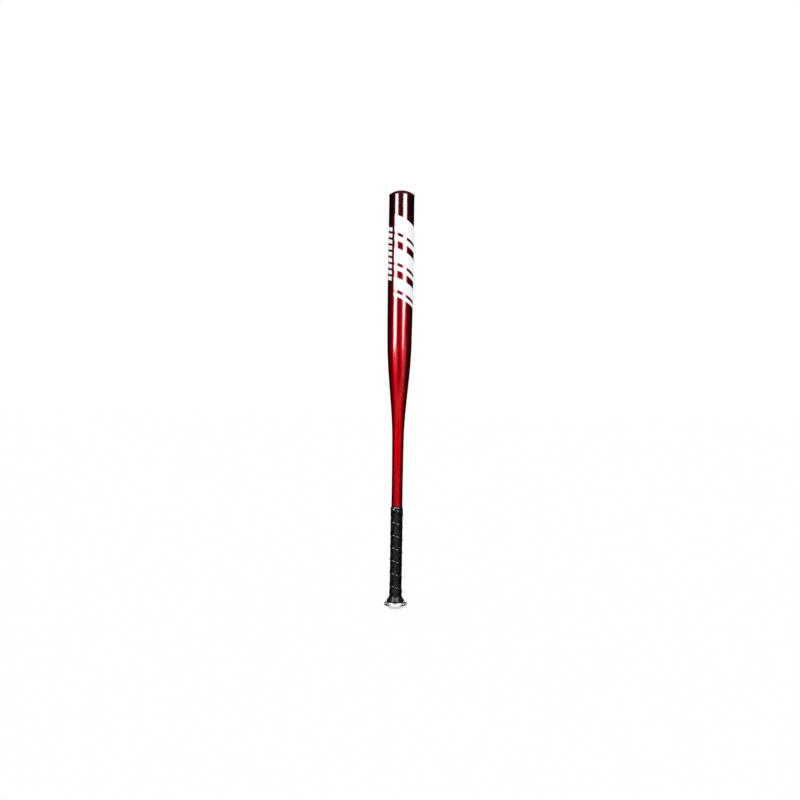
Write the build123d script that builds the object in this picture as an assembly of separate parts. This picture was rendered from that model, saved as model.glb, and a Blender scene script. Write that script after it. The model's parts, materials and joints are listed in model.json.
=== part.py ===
from build123d import *

import os
from math import cos, radians

# Aluminium baseball bat, 34 in long. Millimetres; +Z runs along the bat from the knob to the barrel
# end, and the origin is the centre of the knob's flat base. Outlines are (radius, height) pairs that
# are turned about Z. Every piece is a solid of its own, and neighbours meet face to face.

# Driving dimensions
LENGTH = 864.0
BARREL_RADIUS = 26.5
HANDLE_RADIUS = 11.4
KNOB_RADIUS = 23.7

# Tube: one swaged piece, with a thicker wall at the handle than at the barrel
HANDLE_WALL = 2.6
BARREL_WALL = 2.2
TUBE_FOOT = 13.8
FLARE_START = 262.0
WAIST_RADIUS, WAIST_HEIGHT, WAIST_SLOPE = 12.05, 345.0, 0.004
SHOULDER_RADIUS, SHOULDER_HEIGHT, SHOULDER_SLOPE = 25.2, 545.0, 0.018
BARREL_START = 700.0
SEAM_CHAMFER = 0.35

# End cap: domed, flush with the barrel, pressed into the tube's mouth by a ribbed skirt
DOME_HEIGHT = 9.0
FLANGE_HEIGHT = 2.5
CAP_WALL = 2.6
SKIRT_LENGTH = 16.0
RIB_COUNT = 3
RIB_LENGTH = 2.2
RIB_RELIEF = 0.7
SKIRT_LEAD_IN = 1.0
FOAM_LENGTH = 30.0

# Knob: solid aluminium, butted on the tube's foot and located by a spigot in the tube's bore
BASE_RADIUS = 13.8
BASE_ROUNDING = 1.8
RIM_FOOT, RIM_TOP = 8.1, 10.6
RIM_DRAW = 2.2
EDGE_LIFT, EDGE_INSET = 0.2, 0.25
SHOULDER_CROWN = 0.15
SPIGOT_LENGTH = 22.0
SPIGOT_LEAD_IN = 0.8
VENT_RADIUS = 5.0
PLUG_HEAD_RADIUS = 8.0
PLUG_HEAD_DEPTH = 2.6
PLUG_HEAD_CHAMFER = 0.4
PLUG_RECESS = 0.4
PLUG_LENGTH = 14.0
PLUG_NOSE = 1.2
WELD_LEG = 3.2
WELD_CROWN = 0.3

# Taper cone: rubber, from the knob's shoulder up to the handle
CONE_LIP_RADIUS, CONE_LIP_HEIGHT = 18.35, 15.3
CONE_FOOT_RADIUS = 17.65
CONE_LIP_TOP_RADIUS, CONE_LIP_TOP = 18.1, 16.8
CONE_FLARE = ((17.2, 18.7), (13.8, 21.0))
CONE_NECK_RADIUS, CONE_NECK_HEIGHT = 12.85, 26.8
CONE_TOP = 42.0
WELD_CLEARANCE = 0.8

# Grip: wound strip on double-sided tape, with vinyl tape over its top end
ADHESIVE_THICKNESS = 0.15
GRIP_RADIUS = 12.45
GRIP_FOOT_RADIUS, GRIP_FOOT = 12.65, 29.5
GRIP_EDGE = 0.3
GRIP_TOP = 206.0
BULGE_RADIUS, BULGE_HEIGHT, BULGE_TOP = 13.3, 33.0, 44.0
BAND_FOOT, BAND_TOP = 189.5, 211.0
BAND_THICKNESS = 0.2
BAND_DROP = 2.6
BAND_HEM = 1.2

# Transfers: pairs of slanted white bars, thick then thin, that shrink towards the handle, and a row
# of ticks beside them. Columns are angles about Z in degrees, counted from -Y towards +X.
FILM_THICKNESS = 0.12
BAR_TOP = 797.0
BAR_PAIRS = 3
THICK_BAR, THIN_BAR = 35.0, 11.0
BAR_GAP, PAIR_GAP = 6.5, 15.0
PAIR_SHRINK = 0.84
BAR_TILT = 29.0
BAR_COLUMN = (-31.0, 98.0)
TICK_TOP = 786.0
TICK_COUNT = 9
TICK_HEIGHT = 8.0
TICK_PITCH = 12.6
TICK_TILT = 14.0
TICK_COLUMN = (-80.0, -44.0)

mouth_height = LENGTH - DOME_HEIGHT - FLANGE_HEIGHT
skirt_foot = mouth_height - SKIRT_LENGTH
bore_radius = BARREL_RADIUS - BARREL_WALL
handle_bore = HANDLE_RADIUS - HANDLE_WALL
adhesive_radius = HANDLE_RADIUS + ADHESIVE_THICKNESS
band_radius = GRIP_RADIUS + BAND_THICKNESS


def path(*points):
    """Straight edges through the points."""
    return [Line(a, b) for a, b in zip(points, points[1:])]


def turned(edges):
    """Solid of revolution about Z of a closed outline."""
    return revolve(Plane.XZ * make_face(edges), Axis.Z)


def tube_side(handle_inset, barrel_inset):
    """Edges up the tube's side, set in from its outer surface, as cubics between the stations."""
    stations = (
        (TUBE_FOOT, HANDLE_RADIUS - handle_inset, 0.0),
        (FLARE_START, HANDLE_RADIUS - handle_inset, 0.0),
        (WAIST_HEIGHT, WAIST_RADIUS - handle_inset, WAIST_SLOPE),
        (SHOULDER_HEIGHT, SHOULDER_RADIUS - barrel_inset, SHOULDER_SLOPE),
        (BARREL_START, BARREL_RADIUS - barrel_inset, 0.0),
        (mouth_height, BARREL_RADIUS - barrel_inset, 0.0),
    )
    edges = []
    for (z0, r0, slope0), (z1, r1, slope1) in zip(stations, stations[1:]):
        third = (z1 - z0) / 3
        if r0 == r1:
            edges.append(Line((r0, z0), (r1, z1)))
        else:
            leave = (r0 + slope0 * third, z0 + third)
            arrive = (r1 - slope1 * third, z1 - third)
            edges.append(Bezier((r0, z0), leave, arrive, (r1, z1)))
    return edges


def tube_layer(outer, inner):
    """Full-length layer of the tube between two pairs of insets, handle first."""
    foot = path((HANDLE_RADIUS - outer[0], TUBE_FOOT), (HANDLE_RADIUS - inner[0], TUBE_FOOT))
    mouth = path((BARREL_RADIUS - outer[1], mouth_height), (BARREL_RADIUS - inner[1], mouth_height))
    return turned(tube_side(*outer) + tube_side(*inner) + foot + mouth)


def bat_shell():
    """Barrel, taper and handle in one tube, open at both ends."""
    tube = tube_layer((0.0, 0.0), (HANDLE_WALL, BARREL_WALL))
    mouth_rims = tube.edges().filter_by(GeomType.CIRCLE).sort_by(Axis.Z)[-2:]
    return chamfer(mouth_rims.sort_by(SortBy.RADIUS)[-1], SEAM_CHAMFER)


def dome_arc(rim_radius, rim_height, rise):
    """Arc from a dome's rim to its top on the axis."""
    sphere = (rim_radius**2 + rise**2) / (2 * rise)
    halfway = rim_radius / 2
    middle = rim_height + rise - sphere + (sphere**2 - halfway**2) ** 0.5
    return ThreePointArc((rim_radius, rim_height), (halfway, middle), (0, rim_height + rise))


def end_cap():
    """Hollow dome, a flange that sits on the tube's mouth, and a skirt in its bore."""
    dome_foot = mouth_height + FLANGE_HEIGHT
    inner_radius = bore_radius - CAP_WALL
    inner_rise = DOME_HEIGHT - CAP_WALL / 2
    edge = SEAM_CHAMFER
    outline = path((0, mouth_height + inner_rise), (0, LENGTH))
    outline.append(dome_arc(BARREL_RADIUS - edge, dome_foot, DOME_HEIGHT))
    outline += path(
        (BARREL_RADIUS - edge, dome_foot),
        (BARREL_RADIUS, dome_foot - edge),
        (BARREL_RADIUS, mouth_height + edge),
        (BARREL_RADIUS - edge, mouth_height),
        (bore_radius, mouth_height),
        (bore_radius, skirt_foot + SKIRT_LEAD_IN),
        (bore_radius - SKIRT_LEAD_IN, skirt_foot),
        (inner_radius, skirt_foot),
        (inner_radius, mouth_height),
    )
    outline.append(dome_arc(inner_radius, mouth_height, inner_rise))
    cap = turned(outline)
    rib_pitch = (SKIRT_LENGTH - RIB_LENGTH) / RIB_COUNT
    relief = rib_pitch - RIB_LENGTH
    for i in range(RIB_COUNT):
        middle = skirt_foot + (i + 1) * rib_pitch - relief / 2 + RIB_LENGTH / 2
        tube = Cylinder(bore_radius + RIB_RELIEF, relief) - Cylinder(bore_radius - RIB_RELIEF, relief)
        cap -= Pos(0, 0, middle) * tube
    return cap


def barrel_foam_plug():
    """Closed-cell foam puck behind the cap's skirt, which deadens the barrel's ring."""
    return Pos(0, 0, skirt_foot - FOAM_LENGTH / 2) * Cylinder(bore_radius, FOAM_LENGTH)


def knob():
    """Round knob with a rounded underside, an upright rim, a sloped shoulder and a spigot."""
    spigot_top = TUBE_FOOT + SPIGOT_LENGTH
    shoulder_foot = (KNOB_RADIUS - EDGE_INSET, RIM_TOP + EDGE_LIFT)
    shoulder_top = (CONE_LIP_RADIUS, TUBE_FOOT)
    shoulder_middle = tuple((a + b) / 2 + SHOULDER_CROWN for a, b in zip(shoulder_foot, shoulder_top))
    outline = path((PLUG_HEAD_RADIUS, 0), (BASE_RADIUS, 0))
    outline.append(
        Bezier(
            (BASE_RADIUS, 0),
            (BASE_RADIUS + BASE_ROUNDING, 0),
            (KNOB_RADIUS, RIM_FOOT - RIM_DRAW),
            (KNOB_RADIUS, RIM_FOOT),
        )
    )
    outline += path((KNOB_RADIUS, RIM_FOOT), (KNOB_RADIUS, RIM_TOP))
    outline.append(Bezier((KNOB_RADIUS, RIM_TOP), (KNOB_RADIUS, RIM_TOP + EDGE_LIFT), shoulder_foot))
    outline.append(ThreePointArc(shoulder_foot, shoulder_middle, shoulder_top))
    outline += path(
        shoulder_top,
        (handle_bore, TUBE_FOOT),
        (handle_bore, spigot_top - SPIGOT_LEAD_IN),
        (handle_bore - SPIGOT_LEAD_IN, spigot_top),
        (VENT_RADIUS, spigot_top),
        (VENT_RADIUS, PLUG_HEAD_DEPTH),
        (PLUG_HEAD_RADIUS, PLUG_HEAD_DEPTH),
        (PLUG_HEAD_RADIUS, 0),
    )
    return turned(outline)


def knob_plug():
    """Rubber plug that closes the vent hole, its head sunk just below the knob's base."""
    return turned(
        path(
            (0, PLUG_RECESS),
            (PLUG_HEAD_RADIUS - PLUG_HEAD_CHAMFER, PLUG_RECESS),
            (PLUG_HEAD_RADIUS, PLUG_RECESS + PLUG_HEAD_CHAMFER),
            (PLUG_HEAD_RADIUS, PLUG_HEAD_DEPTH),
            (VENT_RADIUS, PLUG_HEAD_DEPTH),
            (VENT_RADIUS, PLUG_LENGTH - PLUG_NOSE),
            (VENT_RADIUS - PLUG_NOSE, PLUG_LENGTH),
            (0, PLUG_LENGTH),
            (0, PLUG_RECESS),
        )
    )


def knob_weld_bead():
    """Fillet weld round the tube's foot, which joins the tube to the knob."""
    toe = (HANDLE_RADIUS + WELD_LEG, TUBE_FOOT)
    top = (HANDLE_RADIUS, TUBE_FOOT + WELD_LEG)
    offset = WELD_LEG / 2 + WELD_CROWN
    crown = (HANDLE_RADIUS + offset, TUBE_FOOT + offset)
    outline = path(top, (HANDLE_RADIUS, TUBE_FOOT), toe)
    return turned(outline + [ThreePointArc(toe, crown, top)])


def knob_taper_cone():
    """Flared rubber cone over the weld, with a rounded lip on the knob and a feathered top."""
    lip_foot = (CONE_FOOT_RADIUS, TUBE_FOOT)
    lip_top = (CONE_LIP_TOP_RADIUS, CONE_LIP_TOP)
    neck = (CONE_NECK_RADIUS, CONE_NECK_HEIGHT)
    recess = WELD_LEG + WELD_CLEARANCE
    outline = [ThreePointArc(lip_foot, (CONE_LIP_RADIUS, CONE_LIP_HEIGHT), lip_top)]
    outline.append(Bezier(lip_top, *CONE_FLARE, neck))
    outline += path(
        neck,
        (GRIP_FOOT_RADIUS, GRIP_FOOT),
        (adhesive_radius, CONE_TOP),
        (HANDLE_RADIUS, CONE_TOP),
        (HANDLE_RADIUS, TUBE_FOOT + recess),
        (HANDLE_RADIUS + recess, TUBE_FOOT),
        lip_foot,
    )
    return turned(outline)


def grip_adhesive_tape():
    """Double-sided tape round the handle, under the strip."""
    return turned(
        path(
            (HANDLE_RADIUS, CONE_TOP),
            (adhesive_radius, CONE_TOP),
            (adhesive_radius, GRIP_TOP),
            (HANDLE_RADIUS, GRIP_TOP),
            (HANDLE_RADIUS, CONE_TOP),
        )
    )


def grip_wrap():
    """Outer shape of the wound strip: its doubled first turn bulges over the cone's top."""
    edge = (GRIP_FOOT_RADIUS + GRIP_EDGE, GRIP_FOOT)
    bulge = (BULGE_RADIUS, BULGE_HEIGHT)
    settled = (GRIP_RADIUS, BULGE_TOP)
    halfway = (BULGE_HEIGHT + BULGE_TOP) / 2
    outline = path((GRIP_FOOT_RADIUS, GRIP_FOOT), edge)
    outline.append(Bezier(edge, (BULGE_RADIUS, GRIP_FOOT + GRIP_EDGE), bulge))
    outline.append(Bezier(bulge, (BULGE_RADIUS, halfway), (GRIP_RADIUS, halfway), settled))
    outline += path(
        settled,
        (GRIP_RADIUS, GRIP_TOP),
        (adhesive_radius, GRIP_TOP),
        (adhesive_radius, CONE_TOP),
        (GRIP_FOOT_RADIUS, GRIP_FOOT),
    )
    return turned(outline)


def grip_finishing_tape():
    """Vinyl tape round the strip's top end, pulled down on to the bare tube above it."""
    hem_radius = HANDLE_RADIUS + BAND_THICKNESS
    shoulder = (band_radius, GRIP_TOP + BAND_THICKNESS)
    hem = (hem_radius, BAND_TOP - BAND_HEM)
    drop = GRIP_TOP + BAND_DROP
    outline = path((GRIP_RADIUS, BAND_FOOT), (band_radius, BAND_FOOT), shoulder)
    outline.append(Bezier(shoulder, (band_radius, drop), (hem_radius, drop), hem))
    outline += path(
        hem,
        (hem_radius, BAND_TOP),
        (HANDLE_RADIUS, BAND_TOP),
        (HANDLE_RADIUS, GRIP_TOP),
        (GRIP_RADIUS, GRIP_TOP),
        (GRIP_RADIUS, BAND_FOOT),
    )
    return turned(outline)


def sector(column):
    """Tall wedge between the two angles of a column."""
    low, high = column
    reach = 2 * BARREL_RADIUS
    first, middle, last = (Vector(0, -reach).rotate(Axis.Z, turn) for turn in (low, (low + high) / 2, high))
    profile = make_face([Line((0, 0), first), ThreePointArc(first, middle, last), Line(last, (0, 0))])
    return extrude(profile, mouth_height)


def mark(strip, column, tilt, top, height):
    """Piece of a strip between two parallel planes that fall towards larger angles."""
    side = 4 * BARREL_RADIUS
    slab = Box(side, side, height * cos(radians(tilt)))
    turn = Rot(0, 0, sum(column) / 2) * Rot(0, tilt, 0)
    return (strip & Pos(0, 0, top - height / 2) * turn * slab).solid()


def film_strip(column):
    """Layer of film on the tube within a column."""
    return tube_layer((-FILM_THICKNESS, -FILM_THICKNESS), (0.0, 0.0)) & sector(column)


def main_transfer():
    """Slanted white bars round the front and right of the barrel."""
    strip = film_strip(BAR_COLUMN)
    marks = []
    top = BAR_TOP
    for pair in range(BAR_PAIRS):
        scale = PAIR_SHRINK**pair
        for height, gap in ((THICK_BAR, BAR_GAP), (THIN_BAR, PAIR_GAP)):
            marks.append(mark(strip, BAR_COLUMN, BAR_TILT, top, height * scale))
            top -= height * scale + gap
    return Compound(children=marks)


def side_transfer():
    """Row of small white ticks down the barrel's left."""
    strip = film_strip(TICK_COLUMN)
    tops = [TICK_TOP - i * TICK_PITCH for i in range(TICK_COUNT)]
    return Compound(children=[mark(strip, TICK_COLUMN, TICK_TILT, top, TICK_HEIGHT) for top in tops])


PIECES = (
    bat_shell,
    end_cap,
    barrel_foam_plug,
    knob,
    knob_plug,
    knob_weld_bead,
    knob_taper_cone,
    grip_adhesive_tape,
    grip_wrap,
    grip_finishing_tape,
    main_transfer,
    side_transfer,
)

os.makedirs("parts", exist_ok=True)
for piece in PIECES:
    export_step(piece(), f"parts/{piece.__name__}.step")
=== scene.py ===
import json
import math

import bpy
import numpy as np
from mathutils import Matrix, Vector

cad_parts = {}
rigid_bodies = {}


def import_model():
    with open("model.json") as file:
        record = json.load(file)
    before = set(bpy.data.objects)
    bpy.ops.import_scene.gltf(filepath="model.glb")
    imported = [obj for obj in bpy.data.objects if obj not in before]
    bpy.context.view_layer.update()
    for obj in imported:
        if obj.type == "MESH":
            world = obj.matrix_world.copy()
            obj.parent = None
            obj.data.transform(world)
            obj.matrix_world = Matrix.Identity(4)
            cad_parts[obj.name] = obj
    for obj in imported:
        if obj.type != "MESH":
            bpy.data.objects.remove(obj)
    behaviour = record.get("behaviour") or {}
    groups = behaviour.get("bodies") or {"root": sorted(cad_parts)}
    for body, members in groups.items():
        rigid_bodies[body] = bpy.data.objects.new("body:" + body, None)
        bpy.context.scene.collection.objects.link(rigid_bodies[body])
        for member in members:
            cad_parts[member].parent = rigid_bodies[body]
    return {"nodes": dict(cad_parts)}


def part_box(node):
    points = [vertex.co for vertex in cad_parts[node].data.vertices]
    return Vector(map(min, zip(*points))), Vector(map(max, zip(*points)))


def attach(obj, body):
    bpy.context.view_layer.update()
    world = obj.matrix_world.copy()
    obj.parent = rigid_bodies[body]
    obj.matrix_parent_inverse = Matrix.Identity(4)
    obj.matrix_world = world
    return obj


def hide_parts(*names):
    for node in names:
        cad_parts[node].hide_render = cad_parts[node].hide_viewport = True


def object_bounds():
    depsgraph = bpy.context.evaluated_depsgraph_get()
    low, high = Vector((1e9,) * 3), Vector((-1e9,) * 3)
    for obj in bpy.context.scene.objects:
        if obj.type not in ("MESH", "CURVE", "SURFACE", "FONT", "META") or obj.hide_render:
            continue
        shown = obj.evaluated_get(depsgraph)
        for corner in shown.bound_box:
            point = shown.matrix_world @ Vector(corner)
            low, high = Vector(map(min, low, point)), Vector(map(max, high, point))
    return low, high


# Looks of the baseball bat, in metres. The bat stands on its knob with +Z up its axis. Angles round
# the axis are counted from -Y, where the camera stands, towards +X.

for leftover in list(bpy.data.objects):
    bpy.data.objects.remove(leftover)

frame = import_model()
cad_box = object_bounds()
nodes = frame["nodes"]
MM = 0.001
TURN = 2 * math.pi
SHARP_ANGLE = math.radians(35)


# ---------------------------------------------------------------- measures from the frame

def mesh_arrays(name):
    """Vertices, face centres and face normals of a CAD node."""
    mesh = nodes[name].data
    points = np.array([v.co for v in mesh.vertices])
    centres = np.array([f.center for f in mesh.polygons])
    normals = np.array([f.normal for f in mesh.polygons])
    return points, centres, normals


def side_profile(name, outer, spacing=0.0):
    """Heights and radii up a turned node's outer or inner wall, at least the spacing apart."""
    points, centres, normals = mesh_arrays(name)
    outward = np.einsum("ij,ij->i", normals[:, :2], centres[:, :2]) / np.hypot(*centres[:, :2].T)
    chosen = outward > 0.2 if outer else outward < -0.2
    levels = {}
    for face in np.nonzero(chosen)[0]:
        for index in nodes[name].data.polygons[face].vertices:
            x, y, z = points[index]
            levels[round(float(z), 6)] = math.hypot(x, y)
    heights = sorted(levels)
    kept = [heights[0]]
    for height in heights[1:-1]:
        if height - kept[-1] >= spacing and heights[-1] - height >= spacing:
            kept.append(height)
    kept.append(heights[-1])
    return np.array(kept), np.array([levels[height] for height in kept])


def smooth_curve(x, y):
    """Monotone cubic through the points, as a function."""
    step = np.diff(x)
    slope = np.diff(y) / step
    tangent = np.zeros(len(x))
    first, second = slope[:-1], slope[1:]
    same_way = first * second > 0
    weight_1 = 2 * step[1:] + step[:-1]
    weight_2 = step[1:] + 2 * step[:-1]
    safe_1 = np.where(same_way, first, 1.0)
    safe_2 = np.where(same_way, second, 1.0)
    mean = (weight_1 + weight_2) / (weight_1 / safe_1 + weight_2 / safe_2)
    tangent[1:-1] = np.where(same_way, mean, 0.0)
    tangent[0], tangent[-1] = slope[0], slope[-1]

    def at(q):
        i = np.clip(np.searchsorted(x, q) - 1, 0, len(x) - 2)
        t = (q - x[i]) / step[i]
        rise = y[i] * (1 + 2 * t) * (1 - t) ** 2 + y[i + 1] * t * t * (3 - 2 * t)
        lean = tangent[i] * t * (1 - t) ** 2 - tangent[i + 1] * t * t * (1 - t)
        return rise + lean * step[i]

    return at


def at_angle(angle, radius, height):
    """Point at an angle round the axis."""
    return (radius * math.sin(angle), -radius * math.cos(angle), height)


# ---------------------------------------------------------------- mesh helpers

def add_piece(name, vertices, faces, material):
    """Mesh object from points and faces, smooth except at sharp edges."""
    mesh = bpy.data.meshes.new(name)
    mesh.from_pydata([tuple(map(float, v)) for v in vertices], [], faces)
    mesh.validate()
    mesh.polygons.foreach_set("use_smooth", [True] * len(mesh.polygons))
    mesh.set_sharp_from_angle(angle=SHARP_ANGLE)
    mesh.materials.append(material)
    piece = bpy.data.objects.new(name, mesh)
    bpy.context.scene.collection.objects.link(piece)
    return piece


def lathe(name, outline, material, segments):
    """Closed surface of revolution of a closed outline of (radius, height) pairs off the axis."""
    count = len(outline)
    vertices = []
    faces = []
    for s in range(segments):
        angle = TURN * s / segments
        vertices += [at_angle(angle, radius, height) for radius, height in outline]
        here, there = s * count, (s + 1) % segments * count
        for i in range(count):
            j = (i + 1) % count
            faces.append((here + i, there + i, there + j, here + j))
    return add_piece(name, vertices, faces, material)


def tube_of_sections(sections):
    """Vertices and faces of a closed skin over sections that are closed loops of equal length."""
    count = len(sections[0])
    vertices = [point for section in sections for point in section]
    faces = []
    for s in range(len(sections) - 1):
        here, there = s * count, (s + 1) * count
        for i in range(count):
            j = (i + 1) % count
            faces.append((here + i, here + j, there + j, there + i))
    faces.append(tuple(range(count))[::-1])
    last = (len(sections) - 1) * count
    faces.append(tuple(range(last, last + count)))
    return vertices, faces


# ---------------------------------------------------------------- material helpers

class Shader:
    """Node tree of a material or the world, with short ways to add and link nodes."""

    def __init__(self, target):
        if isinstance(target, str):
            target = bpy.data.materials.new(target)
        target.use_nodes = True
        self.material = target
        self.tree = target.node_tree
        is_world = isinstance(target, bpy.types.World)
        self.surface = self.tree.nodes["Background" if is_world else "Principled BSDF"]

    def add(self, kind, settings=None, **inputs):
        node = self.tree.nodes.new(kind)
        for key, value in (settings or {}).items():
            setattr(node, key, value)
        for key, value in inputs.items():
            self.feed(node, key.replace("_", " "), value)
        return node

    def feed(self, node, socket, value):
        target = node.inputs[int(socket)] if socket.isdigit() else node.inputs[socket]
        if isinstance(value, bpy.types.NodeSocket):
            self.tree.links.new(value, target)
        else:
            target.default_value = value

    def set(self, **values):
        for key, value in values.items():
            self.feed(self.surface, key.replace("_", " "), value)

    def place(self):
        """Point on the object, in metres in its own frame."""
        return self.add("ShaderNodeTexCoord").outputs["Object"]

    def stretched(self, vector, scale):
        node = self.add("ShaderNodeMapping", Vector=vector, Scale=scale)
        return node.outputs["Vector"]

    def noise(self, vector, scale, detail=2.0, roughness=0.5):
        node = self.add("ShaderNodeTexNoise", Vector=vector, Scale=scale, Detail=detail)
        node.inputs["Roughness"].default_value = roughness
        return node.outputs["Fac"]

    def cells(self, vector, scale, feature="F1", output="Distance"):
        node = self.add("ShaderNodeTexVoronoi", {"feature": feature}, Vector=vector, Scale=scale)
        return node.outputs[output]

    def ranged(self, value, low, high, to_low=0.0, to_high=1.0, smooth=False):
        kind = {"interpolation_type": "SMOOTHSTEP"} if smooth else None
        node = self.add("ShaderNodeMapRange", kind, Value=value)
        limits = {"From Min": low, "From Max": high, "To Min": to_low, "To Max": to_high}
        for socket, number in limits.items():
            node.inputs[socket].default_value = number
        return node.outputs["Result"]

    def ramp(self, factor, stops):
        node = self.add("ShaderNodeValToRGB", Fac=factor)
        elements = node.color_ramp.elements
        while len(elements) < len(stops):
            elements.new(0.5)
        for element, (position, colour) in zip(elements, stops):
            element.position = position
            element.color = (*colour, 1.0)
        return node.outputs["Color"]

    def mixed(self, factor, first, second):
        node = self.add("ShaderNodeMix", {"data_type": "RGBA"})
        for socket, value in ((0, factor), (6, first), (7, second)):
            if isinstance(value, bpy.types.NodeSocket):
                self.tree.links.new(value, node.inputs[socket])
            else:
                node.inputs[socket].default_value = value if socket == 0 else (*value, 1.0)
        return node.outputs[2]

    def maths(self, operation, first, second=0.0):
        node = self.add("ShaderNodeMath", {"operation": operation})
        for socket, value in ((0, first), (1, second)):
            self.feed(node, str(socket), value)
        return node.outputs[0]

    def parts(self, vector):
        return self.add("ShaderNodeSeparateXYZ", Vector=vector).outputs

    def bump(self, height, depth, strength=1.0, before=None):
        node = self.add("ShaderNodeBump", Height=height, Distance=depth, Strength=strength)
        if before is not None:
            self.tree.links.new(before, node.inputs["Normal"])
        return node.outputs["Normal"]


# ---------------------------------------------------------------- materials

def candy_red(name, fade_low, fade_high):
    """Clear-coated metallic red that fades to black cherry towards the barrel's end.

    The clear coat thins out on the handle, and at grazing angles, where its glare would break the
    outline.
    """
    s = Shader(name)
    place = s.place()
    height = s.parts(place)[2]
    fade = s.ranged(height, fade_low, fade_high)
    drift = s.noise(place, 9.0, 2.0)
    fade = s.maths("ADD", fade, s.ranged(drift, 0.0, 1.0, -0.03, 0.03))
    paint = s.ramp(
        fade,
        (
            (0.0, (0.78, 0.0, 0.005)),
            (0.20, (0.40, 0.0, 0.004)),
            (0.43, (0.20, 0.0, 0.003)),
            (0.66, (0.12, 0.0, 0.003)),
            (0.90, (0.02, 0.0, 0.001)),
        ),
    )
    flake = s.cells(place, 2600.0, output="Color")
    flake_tone = s.ranged(s.parts(flake)[0], 0.0, 1.0, 0.82, 1.18)
    flaked = s.add("ShaderNodeVectorMath", {"operation": "SCALE"}, Vector=paint, Scale=flake_tone)
    haze = s.noise(place, 700.0, 3.0)
    lay = s.ranged(height, 0.44, 0.60, 0.32, 0.37, smooth=True)
    gloss = s.ranged(height, fade_low - 0.07, fade_low + 0.12, 0.08, 1.0, smooth=True)
    turned_away = s.add("ShaderNodeLayerWeight", Blend=0.5).outputs["Facing"]
    gloss = s.maths("MULTIPLY", gloss, s.ranged(turned_away, 0.4, 0.6, 1.0, 0.1, smooth=True))
    peel = s.noise(place, 320.0, 1.0)
    s.set(
        Base_Color=flaked.outputs[0],
        Metallic=1.0,
        Roughness=s.maths("ADD", s.ranged(haze, 0.3, 0.7, -0.03, 0.03), lay),
        Normal=s.bump(peel, 0.02 * MM, 0.25),
        Specular_Tint=(0.25, 0.0, 0.01, 1.0),
        Coat_Weight=gloss,
        Coat_Roughness=0.11,
        Coat_IOR=1.7,
    )
    return s.material


def cherry_plastic():
    """Moulded cap in dark cherry, duller than the barrel."""
    s = Shader("cherry_plastic")
    place = s.place()
    flow = s.noise(s.stretched(place, (60.0, 60.0, 260.0)), 1.0, 3.0)
    grain = s.noise(place, 1500.0, 3.0)
    s.set(
        Base_Color=s.mixed(flow, (0.045, 0.001, 0.003), (0.062, 0.001, 0.004)),
        Roughness=s.ranged(grain, 0.3, 0.7, 0.3, 0.4),
        Normal=s.bump(grain, 0.015 * MM, 0.3),
        Specular_IOR_Level=0.03,
        Coat_Weight=0.0,
    )
    return s.material


def white_ink():
    """Printed white ink under the clear coat."""
    s = Shader("white_ink_print")
    place = s.place()
    mottle = s.noise(place, 900.0, 3.0)
    cloud = s.noise(place, 60.0, 2.0)
    tone = s.ranged(s.maths("MULTIPLY", mottle, cloud), 0.1, 0.5, 0.0, 1.0)
    s.set(
        Base_Color=s.mixed(tone, (0.92, 0.90, 0.92), (0.97, 0.95, 0.97)),
        Roughness=s.ranged(mottle, 0.3, 0.7, 0.35, 0.5),
        Normal=s.bump(mottle, 0.01 * MM, 0.3),
        Coat_Weight=0.3,
        Coat_Roughness=0.11,
    )
    return s.material


def turned_aluminium():
    """Bare cast knob, polished on a lathe: fine rings, light scuffs."""
    s = Shader("turned_aluminium")
    place = s.place()
    x, y, z = s.parts(place)[:3]
    radius = s.maths("SQRT", s.maths("ADD", s.maths("MULTIPLY", x, x), s.maths("MULTIPLY", y, y)))
    across = s.add("ShaderNodeCombineXYZ", X=radius, Y=0.0, Z=z).outputs[0]
    rings = s.noise(across, 2600.0, 4.0, 0.7)
    scuffs = s.noise(s.stretched(place, (90.0, 420.0, 260.0)), 1.0, 5.0, 0.7)
    worn = s.ranged(scuffs, 0.45, 0.75)
    s.set(
        Base_Color=s.mixed(worn, (0.86, 0.86, 0.87), (0.74, 0.74, 0.76)),
        Metallic=1.0,
        Roughness=s.ranged(s.maths("ADD", rings, scuffs), 0.7, 1.3, 0.12, 0.26),
        Normal=s.bump(rings, 0.03 * MM, 0.5),
    )
    return s.material


def cone_rubber():
    """Glossy moulded rubber with a few dust specks."""
    s = Shader("moulded_rubber")
    place = s.place()
    grain = s.noise(place, 1400.0, 3.0)
    dust = s.ranged(s.noise(place, 500.0, 6.0, 0.8), 0.68, 0.8)
    s.set(
        Base_Color=s.mixed(dust, (0.004, 0.004, 0.005), (0.02, 0.02, 0.022)),
        Roughness=s.ranged(grain, 0.3, 0.7, 0.2, 0.3),
        Normal=s.bump(grain, 0.02 * MM, 0.4),
        Specular_IOR_Level=0.22,
    )
    return s.material


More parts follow.
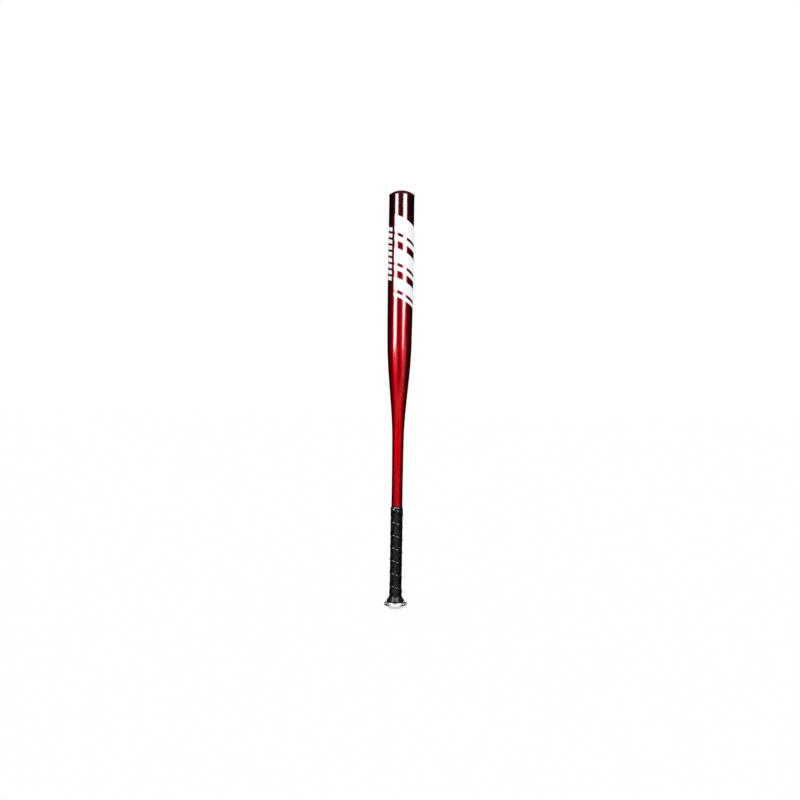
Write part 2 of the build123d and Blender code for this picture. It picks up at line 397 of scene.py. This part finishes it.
def grip_leather():
    """Soft synthetic leather strip: fine grain and rows of small holes punched along it."""
    s = Shader("grip_leather")
    flat = s.add("ShaderNodeTexCoord").outputs["UV"]
    place = s.place()
    along, across = s.parts(flat)[:2]
    pitch = 3.6 * MM
    row = s.maths("MULTIPLY", across, 1 / pitch)
    odd = s.maths("MULTIPLY", s.maths("MODULO", s.maths("FLOOR", row), 2.0), 0.5)
    column = s.maths("ADD", s.maths("MULTIPLY", along, 1 / pitch), odd)
    offsets = [s.maths("SUBTRACT", s.maths("FRACT", value), 0.5) for value in (row, column)]
    squares = [s.maths("MULTIPLY", value, value) for value in offsets]
    away = s.maths("SQRT", s.maths("ADD", *squares))
    hole_with_painted_shade = s.ranged(away, 0.13, 0.2, 1.0, 0.0, smooth=True)
    grain = s.cells(place, 1500.0, "DISTANCE_TO_EDGE")
    creases = s.ranged(grain, 0.0, 0.12)
    wear = s.noise(place, 45.0, 4.0, 0.6)
    leather = s.mixed(s.ranged(wear, 0.35, 0.7), (0.001, 0.001, 0.0012), (0.0025, 0.0025, 0.003))
    relief = s.bump(creases, 0.03 * MM, 0.5)
    s.set(
        # The punched holes are coloured near-black: painted shade in the holes.
        Base_Color=s.mixed(hole_with_painted_shade, leather, (0.001, 0.001, 0.001)),
        Roughness=s.ranged(wear, 0.3, 0.7, 0.2, 0.28),
        Normal=s.bump(s.maths("SUBTRACT", 1.0, hole_with_painted_shade), 0.3 * MM, 0.8, before=relief),
        Specular_IOR_Level=0.45,
    )
    return s.material


def vinyl_tape():
    """Black electrical-type tape, calendered and slightly wrinkled."""
    s = Shader("vinyl_tape")
    place = s.place()
    wrinkle = s.noise(s.stretched(place, (60.0, 60.0, 420.0)), 1.0, 3.0)
    film = s.noise(place, 1800.0, 2.0)
    s.set(
        Base_Color=s.mixed(wrinkle, (0.0015, 0.0015, 0.0018), (0.004, 0.004, 0.0045)),
        Roughness=s.ranged(film, 0.3, 0.7, 0.16, 0.26),
        Normal=s.bump(wrinkle, 0.12 * MM, 0.5),
    )
    return s.material


def plug_rubber():
    """Matt black plug with a moulded grain."""
    s = Shader("plug_rubber")
    place = s.place()
    grain = s.noise(place, 1100.0, 5.0, 0.7)
    s.set(
        Base_Color=s.mixed(grain, (0.018, 0.018, 0.018), (0.035, 0.035, 0.035)),
        Roughness=s.ranged(grain, 0.3, 0.7, 0.55, 0.75),
        Normal=s.bump(grain, 0.06 * MM, 0.5),
    )
    return s.material


def weld_metal():
    """Rippled aluminium weld with a dull oxide skin."""
    s = Shader("weld_metal")
    place = s.place()
    x, y, _ = s.parts(place)[:3]
    angle = s.maths("ARCTAN2", x, y)
    ripple = s.maths("SINE", s.maths("MULTIPLY", angle, 46.0))
    oxide = s.noise(place, 600.0, 4.0)
    s.set(
        Base_Color=s.mixed(oxide, (0.48, 0.47, 0.46), (0.68, 0.68, 0.68)),
        Metallic=1.0,
        Roughness=s.ranged(oxide, 0.3, 0.7, 0.4, 0.6),
        Normal=s.bump(ripple, 0.2 * MM, 0.8),
    )
    return s.material


def closed_cell_foam():
    """Pale grey foam with a skin of small cells, darker where they meet as painted shade."""
    s = Shader("closed_cell_foam")
    place = s.place()
    cells = s.cells(place, 900.0, "DISTANCE_TO_EDGE")
    s.set(
        # Darker where the cells meet: painted shade in the creases between them.
        Base_Color=s.mixed(s.ranged(cells, 0.0, 0.2), (0.42, 0.42, 0.40), (0.62, 0.62, 0.58)),
        Roughness=s.ranged(cells, 0.0, 0.3, 0.95, 0.8),
        Normal=s.bump(cells, 0.2 * MM, 0.7),
    )
    return s.material


def paper_tape():
    """Cream backing of the double-sided tape, creped across its length."""
    s = Shader("creped_tape")
    place = s.place()
    crepe = s.noise(s.stretched(place, (300.0, 300.0, 2400.0)), 1.0, 3.0)
    s.set(
        Base_Color=s.mixed(crepe, (0.62, 0.57, 0.44), (0.80, 0.76, 0.64)),
        Roughness=s.ranged(crepe, 0.3, 0.7, 0.7, 0.85),
        Normal=s.bump(crepe, 0.05 * MM, 0.6),
    )
    return s.material


# ---------------------------------------------------------------- painted tube and cap

FADE_FOOT, FADE_TOP = 0.486, 0.995
CURVE_STEP = 2 * MM
RING_STEP = 4.5 * MM
TUBE_SEGMENTS = 256

bat_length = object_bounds()[1].z
outer_levels = side_profile("bat_shell", outer=True, spacing=CURVE_STEP)
inner_levels = side_profile("bat_shell", outer=False, spacing=CURVE_STEP)
tube_radius = smooth_curve(*outer_levels)
bore_radius = smooth_curve(*inner_levels)
tube_foot, tube_mouth = outer_levels[0][0], outer_levels[0][-1]
rim_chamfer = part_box("bat_shell")[1].x - outer_levels[1][-1]


def painted_tube():
    """Barrel, taper and handle in one skin, with the bore's wall inside."""
    rings = round((tube_mouth - tube_foot) / RING_STEP)
    heights = np.linspace(tube_foot, tube_mouth - rim_chamfer, rings)
    outline = [(float(tube_radius(h)), float(h)) for h in heights]
    outline.append((outer_levels[1][-1], tube_mouth))
    depths = np.linspace(tube_mouth, tube_foot, rings)
    outline += [(float(bore_radius(h)), float(h)) for h in depths]
    paint = candy_red("candy_red_paint", FADE_FOOT * bat_length, FADE_TOP * bat_length)
    piece = lathe("painted_tube", outline, paint, TUBE_SEGMENTS)
    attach(piece, "root")
    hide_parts("bat_shell")


painted_tube()
nodes["end_cap"].data.materials.clear()
nodes["end_cap"].data.materials.append(cherry_plastic())


# ---------------------------------------------------------------- printed marks

def islands(name):
    """Groups of vertices of a CAD node that hang together, as arrays of points."""
    mesh = nodes[name].data
    keys = {}
    same = [keys.setdefault(tuple(round(c, 6) for c in v.co), v.index) for v in mesh.vertices]
    parent = list(range(len(same)))

    def root(i):
        while parent[i] != i:
            parent[i] = parent[parent[i]]
            i = parent[i]
        return i

    for face in mesh.polygons:
        first = root(same[face.vertices[0]])
        for index in face.vertices[1:]:
            parent[root(same[index])] = first
    groups = {}
    for index in set(same):
        groups.setdefault(root(index), []).append(mesh.vertices[index].co[:])
    return [np.array(groups[key]) for key in sorted(groups)]


FILM_STEP = math.radians(1.5)
FILM_LEAST_COLUMNS = 4
FILM_ROWS = 8
FILM_SUNK = 0.04 * MM
film_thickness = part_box("main_transfer")[1].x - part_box("bat_shell")[1].x


def film_mark(points):
    """Closed thin plate on the tube with the outline of one CAD mark."""
    angles = np.arctan2(points[:, 0], -points[:, 1])
    low, high = angles.min(), angles.max()
    ends = []
    for edge in (low, high):
        heights = points[np.abs(angles - edge) < 1e-3][:, 2]
        ends.append((heights.min(), heights.max()))
    middle, half = (low + high) / 2, (high - low) / 2
    columns = max(FILM_LEAST_COLUMNS, math.ceil((high - low) / FILM_STEP))
    sections = []
    for angle in np.linspace(low, high, columns + 1):
        swing = math.sin(angle - middle) / math.sin(half)
        foot, top = ((a + b) / 2 + (b - a) / 2 * swing for a, b in zip(*ends))
        rows = np.linspace(foot, top, FILM_ROWS + 1)
        outside = [at_angle(angle, float(tube_radius(h)) + film_thickness, h) for h in rows]
        inside = [at_angle(angle, float(tube_radius(h)) - FILM_SUNK, h) for h in rows[::-1]]
        sections.append(outside + inside)
    return tube_of_sections(sections)


def printed_film(name, node, material):
    """All the marks of one CAD transfer as one piece."""
    vertices, faces = [], []
    for group in islands(node):
        new_vertices, new_faces = film_mark(group)
        start = len(vertices)
        vertices += new_vertices
        faces += [tuple(start + i for i in face) for face in new_faces]
    piece = add_piece(name, vertices, faces, material)
    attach(piece, "root")
    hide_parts(node)


ink = white_ink()
printed_film("main_graphic_print", "main_transfer", ink)
printed_film("side_graphic_print", "side_transfer", ink)


# ---------------------------------------------------------------- wound grip

STRIP_WIDTH = 29.5 * MM
STRIP_THICKNESS = 0.9 * MM
EDGE_THICKNESS = 0.6 * MM
SKIVE_WIDTH = 3.6 * MM
WINDING_PITCH = 26.3 * MM
FIRST_RIDGE_LIFT = 10.9 * MM
COLUMNS_PER_TURN = 120
PRESSED_EDGE = 3.5 * MM
EDGE_ROUNDING = 0.16 * MM
LAYER_GAP = 0.02 * MM
STRIP_DRAPE = 0.45
STRIP_POINTS = 51
EDGE_CROWDING = 0.75
END_LENGTH = 2 * MM

grip_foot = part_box("grip_wrap")[0].z
grip_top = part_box("grip_wrap")[1].z
cone_curve = smooth_curve(*side_profile("knob_taper_cone", outer=True, spacing=0.2 * MM))
cone_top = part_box("knob_taper_cone")[1].z
tape_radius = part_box("grip_adhesive_tape")[1].x


def under_grip(heights):
    """Radius of what the strip is wound on."""
    cone = cone_curve(np.minimum(heights, cone_top))
    return np.where(heights < cone_top, np.maximum(cone, tape_radius), tape_radius)


def draped(heights, radii, slope):
    """Lowest surface over the given one that rises and falls no faster than the slope."""
    reach = radii[None, :] - slope * np.abs(heights[:, None] - heights[None, :])
    return reach.max(axis=1)


def bent_over(heights, radii, bend):
    """Lowest surface over the given one whose outward bends are no tighter than the bend radius."""
    reach = radii[None, :] - (heights[:, None] - heights[None, :]) ** 2 / (2 * bend)
    return reach.max(axis=1)


def across_strip():
    """Places across the strip from 0 to 1, closer together near its edges."""
    even = np.linspace(0.0, 1.0, STRIP_POINTS)
    return (1 - np.cos(np.pi * even)) / 2 * EDGE_CROWDING + even * (1 - EDGE_CROWDING)


def wind_strip():
    """Columns of the strip from its foot to its top: angle, run, heights, under and outer radii."""
    run_per_turn = math.hypot(TURN * (tape_radius + STRIP_THICKNESS), WINDING_PITCH)
    first = (END_LENGTH - STRIP_WIDTH - FIRST_RIDGE_LIFT) / WINDING_PITCH
    last = (grip_top - END_LENGTH - grip_foot - FIRST_RIDGE_LIFT) / WINDING_PITCH
    start = round(first * COLUMNS_PER_TURN)
    stop = round(last * COLUMNS_PER_TURN)
    spread = across_strip()
    columns = []
    for index in range(start, stop + 1):
        turns = index / COLUMNS_PER_TURN
        edge = grip_foot + FIRST_RIDGE_LIFT + WINDING_PITCH * turns
        low, high = max(edge, grip_foot), min(edge + STRIP_WIDTH, grip_top)
        heights = low + (high - low) * spread
        under = under_grip(heights)
        if len(columns) >= COLUMNS_PER_TURN:
            below = columns[-COLUMNS_PER_TURN]
            covered = (heights >= below["heights"][0]) & (heights <= below["heights"][-1])
            lower_layer = np.interp(heights, below["heights"], below["outer"]) + LAYER_GAP
            under = np.where(covered, lower_layer, under)
        under = draped(heights, under, STRIP_DRAPE)
        to_edge = np.minimum(heights - edge, edge + STRIP_WIDTH - heights)
        share = np.clip(to_edge / SKIVE_WIDTH, 0.0, 1.0)
        pressed = np.clip((heights - grip_foot) / PRESSED_EDGE, 0.0, 1.0)
        share = np.minimum(share, pressed)
        thickness = EDGE_THICKNESS + (STRIP_THICKNESS - EDGE_THICKNESS) * share
        columns.append(
            {
                "angle": -TURN * turns,
                "run": turns * run_per_turn,
                "edge": edge,
                "heights": heights,
                "under": under,
                "outer": under + thickness,
            }
        )
    return columns


def strip_section(column):
    """Closed section of the strip, with the outer face's two edges rounded."""
    heights, under, outer = column["heights"], column["under"], column["outer"].copy()
    outer[0] -= EDGE_ROUNDING
    outer[-1] -= EDGE_ROUNDING
    faces = [at_angle(column["angle"], r, h) for r, h in zip(outer, heights)]
    return faces + [at_angle(column["angle"], r, h) for r, h in zip(under[::-1], heights[::-1])]


def grip_strip(columns):
    """The wound strip as one closed ribbon, mapped along and across its length."""
    vertices, faces = tube_of_sections([strip_section(column) for column in columns])
    piece = add_piece("grip_strip", vertices, faces, grip_leather())
    flat = []
    for column in columns:
        across = [(column["run"], h - column["edge"]) for h in column["heights"]]
        flat += across + across[::-1]
    layer = piece.data.uv_layers.new(name="strip")
    for loop in piece.data.loops:
        layer.data[loop.index].uv = flat[loop.vertex_index]
    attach(piece, "root")
    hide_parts("grip_wrap")


strip_columns = wind_strip()
grip_strip(strip_columns)


# ---------------------------------------------------------------- finishing tape

TAPE_THICKNESS = 0.16 * MM
TAPE_TURNS = 1.62
TAPE_START = math.radians(150.0)
TAPE_BEND = 4.5 * MM
TAPE_ROWS = 60
PUCKER_DEPTH = 0.07 * MM
PUCKER_LIFT, PUCKER_REACH = 1.2 * MM, 2.0 * MM
PUCKER_COUNT = 13

band_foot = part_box("grip_finishing_tape")[0].z
band_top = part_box("grip_finishing_tape")[1].z
bare_radius = float(tube_radius(band_top))


def over_grip(index, heights):
    """Radius of the wound strip, or the bare tube above it, in one column of the winding."""
    radii = np.full(len(heights), bare_radius)
    for place in range(index % COLUMNS_PER_TURN, len(strip_columns), COLUMNS_PER_TURN):
        column = strip_columns[place]
        within = (heights >= column["heights"][0]) & (heights <= column["heights"][-1])
        layer = np.interp(heights, column["heights"], column["outer"])
        radii = np.where(within, np.maximum(radii, layer), radii)
    return radii


def tape_column(index, below):
    """One column of the tape, over the strip or over the tape's own first turn."""
    heights = np.linspace(band_foot, band_top, TAPE_ROWS)
    start_turns = strip_columns[0]["angle"] / -TURN
    angle = strip_columns[index % COLUMNS_PER_TURN]["angle"]
    radii = bent_over(heights, over_grip(index, heights) + LAYER_GAP, TAPE_BEND)
    shoulder = np.exp(-(((heights - grip_top - PUCKER_LIFT) / PUCKER_REACH) ** 2))
    unevenness = 1.7 * math.sin(3 * angle + start_turns)
    pucker = 0.5 + 0.5 * math.sin(PUCKER_COUNT * angle + unevenness)
    radii = radii + PUCKER_DEPTH * shoulder * pucker
    if below is not None:
        radii = np.maximum(radii, below["outer"] + LAYER_GAP)
    return {"angle": angle, "heights": heights, "under": radii, "outer": radii + TAPE_THICKNESS}


def finishing_tape():
    """Vinyl tape wound over the strip's top end, with its own end lying on the first turn."""
    offset = round(TAPE_START / TURN * COLUMNS_PER_TURN)
    columns = []
    for step in range(round(TAPE_TURNS * COLUMNS_PER_TURN)):
        below = columns[step - COLUMNS_PER_TURN] if step >= COLUMNS_PER_TURN else None
        columns.append(tape_column(offset + step, below))
    sections = []
    for column in columns:
        rows = list(zip(column["heights"], column["under"], column["outer"]))
        outside = [at_angle(column["angle"], r, h) for h, _, r in rows]
        inside = [at_angle(column["angle"], r, h) for h, r, _ in rows[::-1]]
        sections.append(outside + inside)
    piece = add_piece("finishing_tape", *tube_of_sections(sections), vinyl_tape())
    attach(piece, "root")
    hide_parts("grip_finishing_tape")


finishing_tape()


# ---------------------------------------------------------------- carried-over nodes

for node, material in (
    ("knob", turned_aluminium()),
    ("knob_taper_cone", cone_rubber()),
    ("knob_plug", plug_rubber()),
    ("knob_weld_bead", weld_metal()),
    ("barrel_foam_plug", closed_cell_foam()),
    ("grip_adhesive_tape", paper_tape()),
):
    nodes[node].data.materials.clear()
    nodes[node].data.materials.append(material)


# ---------------------------------------------------------------- studio

CAMERA_DISTANCE = 1.84
FIELD_OF_VIEW = math.radians(48.5)
CAMERA_ROLL = math.radians(0.93)
AXIS_OFFSET = 2.9 * MM
EYE_DROP = 1.4 * MM
FLOOR_REACH = 40.0
FLOOR_DROP = -0.6 * MM
SHADE_REACH = 1.5
FAN_REACH = 0.12
CARD_CORNERS = 96
LIGHT_DISTANCE = 1.5
TOP_LIGHT_HEIGHT = 2.6
TOP_LIGHT_SIZE = 0.45
CEILING_AXIS = (0.0, 0.05, 1.0)
CEILING_GLOW = 1.5
SIDE_GLOW = 0.35
ROOM_GLOW = 0.01

# Lights that face the bat: azimuths in degrees, heights in metres, radiance, lean in degrees. Two
# bright keys give the barrel's highlights, and dimmer ones carry them on below and above. Weak lights
# in front show on the handle and grip, and a tall one stands behind.
SOFTBOXES = (
    ("left_key", (-58, -32), (0.555, 1.45), 14.5, -7),
    ("left_feather", (-56.5, -30.5), (0.50, 0.555), 5.0, 0),
    ("left_strip", (-42, -16), (0.32, 0.50), 0.43, 0),
    ("left_upper", (-56, -29), (1.45, 2.6), 6.0, 0),
    ("right_key", (19.9, 46.9), (0.63, 1.5), 14.5, -33),
    ("right_strip", (35, 66), (0.22, 0.60), 0.45, 0),
    ("right_upper", (19.4, 48.6), (1.5, 2.6), 6.0, 0),
    ("front_upper", (-29, 19.4), (1.4, 2.6), 7.0, 0),
    ("handle_front", (-28, 30), (0.02, 0.16), 1.0, 0),
    ("grip_front", (-48, 42), (-0.2, 0.02), 0.45, 0),
    ("front_foot", (-48, 42), (-0.6, -0.2), 0.2, 0),
    ("back_strip", (172, 188), (0.2, 1.15), 14.0, 0),
)

# Lights above the bat, for the knob's shoulder: place in plan and radiance.
TOP_LIGHTS = (("left_top", (-1.45, -1.0), 30.0), ("right_top", (0.83, -1.3), 42.0))

low_corner, high_corner = cad_box
eye_height = (low_corner.z + high_corner.z) / 2 - EYE_DROP


def pale(name, emission):
    """Matt surface that glows evenly, as a floor lit from all sides does."""
    s = Shader(name)
    s.set(
        Base_Color=(0.02, 0.02, 0.02, 1.0),
        Roughness=1.0,
        Specular_IOR_Level=0.0,
        Emission_Color=(1.0, 1.0, 1.0, 1.0),
        Emission_Strength=emission,
    )
    return s.material


def flat_piece(name, corners, height, material):
    """Flat stage piece at a height, from its corners in plan."""
    mesh = bpy.data.meshes.new(name)
    mesh.from_pydata([(x, y, height) for x, y in corners], [], [tuple(range(len(corners)))])
    mesh.materials.append(material)
    piece = bpy.data.objects.new(name, mesh)
    bpy.context.scene.collection.objects.link(piece)
    return piece


def floor():
    """Plain pale floor, with a shaded disc and a bright fan that only the knob's reflections show."""
    square = [(-FLOOR_REACH, -FLOOR_REACH), (FLOOR_REACH, -FLOOR_REACH)]
    square += [(FLOOR_REACH, FLOOR_REACH), (-FLOOR_REACH, FLOOR_REACH)]
    wide = flat_piece("floor", square, FLOOR_DROP, pale("pale_floor", 0.975))
    wide.visible_glossy = False
    wide.visible_diffuse = False
    turns = [TURN * step / CARD_CORNERS for step in range(CARD_CORNERS)]
    shade_reach = SHADE_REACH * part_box("knob")[1].x
    disc = [at_angle(a, shade_reach, 0.0)[:2] for a in turns]
    fan = [at_angle(a, shade_reach + FAN_REACH * max(0.0, math.cos(a)) ** 5, 0.0)[:2] for a in turns]
    shade = flat_piece("floor_under_knob", disc, 0.4 * FLOOR_DROP, pale("shaded_floor", 0.72))
    glow = flat_piece("floor_before_knob", fan, 0.7 * FLOOR_DROP, pale("bright_floor", 1.1))
    for card in (shade, glow):
        card.visible_camera = False
        card.visible_diffuse = False


def area_light(name, width, height, radiance):
    """Rectangular light that shows only in reflections."""
    data = bpy.data.lights.new(name, "AREA")
    data.shape = "RECTANGLE"
    data.size = width
    data.size_y = height
    data.energy = radiance * math.pi * width * height
    light = bpy.data.objects.new(name, data)
    bpy.context.scene.collection.objects.link(light)
    light.visible_camera = False
    light.visible_diffuse = False
    return light


def softbox(name, azimuths, heights, radiance, lean):
    """Upright light that faces the bat."""
    first, last = (math.radians(azimuth) for azimuth in azimuths)
    foot, top = heights
    width = 2 * LIGHT_DISTANCE * math.tan((last - first) / 2)
    middle = (first + last) / 2
    light = area_light(name, width, top - foot, radiance)
    light.location = at_angle(middle, LIGHT_DISTANCE, (foot + top) / 2)
    light.rotation_euler = (math.radians(90), math.radians(lean), middle)


def top_light(name, place, radiance):
    """Light that looks straight down."""
    light = area_light(name, TOP_LIGHT_SIZE, TOP_LIGHT_SIZE, radiance)
    light.location = (*place, TOP_LIGHT_HEIGHT)


def world_light():
    """White all round, but in reflections a dark room with a bright ceiling and paler upper sides."""
    world = bpy.data.worlds.new("studio")
    bpy.context.scene.world = world
    world.cycles.sampling_method = "NONE"
    room = Shader(world)
    background = room.surface
    background.inputs["Color"].default_value = (1, 1, 1, 1)
    direction = room.add("ShaderNodeTexCoord").outputs["Generated"]
    overhead = room.add("ShaderNodeVectorMath", {"operation": "DOT_PRODUCT"}, Vector=direction)
    overhead.inputs[1].default_value = CEILING_AXIS
    ceiling = room.ranged(overhead.outputs["Value"], 0.8, 0.88, 0.0, CEILING_GLOW, smooth=True)
    x, _, z = room.parts(direction)[:3]
    aside = room.ranged(room.maths("ABSOLUTE", x), 0.3, 0.42, smooth=True)
    raised = room.ranged(z, 0.2, 0.4, smooth=True)
    upper_sides = room.maths("MULTIPLY", room.maths("MULTIPLY", aside, raised), SIDE_GLOW)
    glow = room.maths("ADD", room.maths("MAXIMUM", ceiling, upper_sides), ROOM_GLOW)
    mirrored = room.add("ShaderNodeLightPath").outputs["Is Glossy Ray"]
    strength = room.add("ShaderNodeMix", {"data_type": "FLOAT"})
    room.tree.links.new(mirrored, strength.inputs[0])
    strength.inputs[2].default_value = 1.0
    room.tree.links.new(glow, strength.inputs[3])
    room.tree.links.new(strength.outputs[0], background.inputs["Strength"])


def studio():
    """World light, the lights round the bat and those above it."""
    bpy.context.scene.view_settings.view_transform = "Standard"
    world_light()
    for light in SOFTBOXES:
        softbox(*light)
    for light in TOP_LIGHTS:
        top_light(*light)


def camera():
    """Camera in front of the bat, level with its middle and slightly rolled."""
    data = bpy.data.cameras.new("camera")
    data.sensor_width = 36.0
    data.lens = data.sensor_width / 2 / math.tan(FIELD_OF_VIEW / 2)
    eye = bpy.data.objects.new("camera", data)
    bpy.context.scene.collection.objects.link(eye)
    eye.location = (AXIS_OFFSET, -CAMERA_DISTANCE, eye_height)
    eye.rotation_euler = (math.radians(90), -CAMERA_ROLL, 0)
    bpy.context.scene.camera = eye


floor()
studio()
camera()
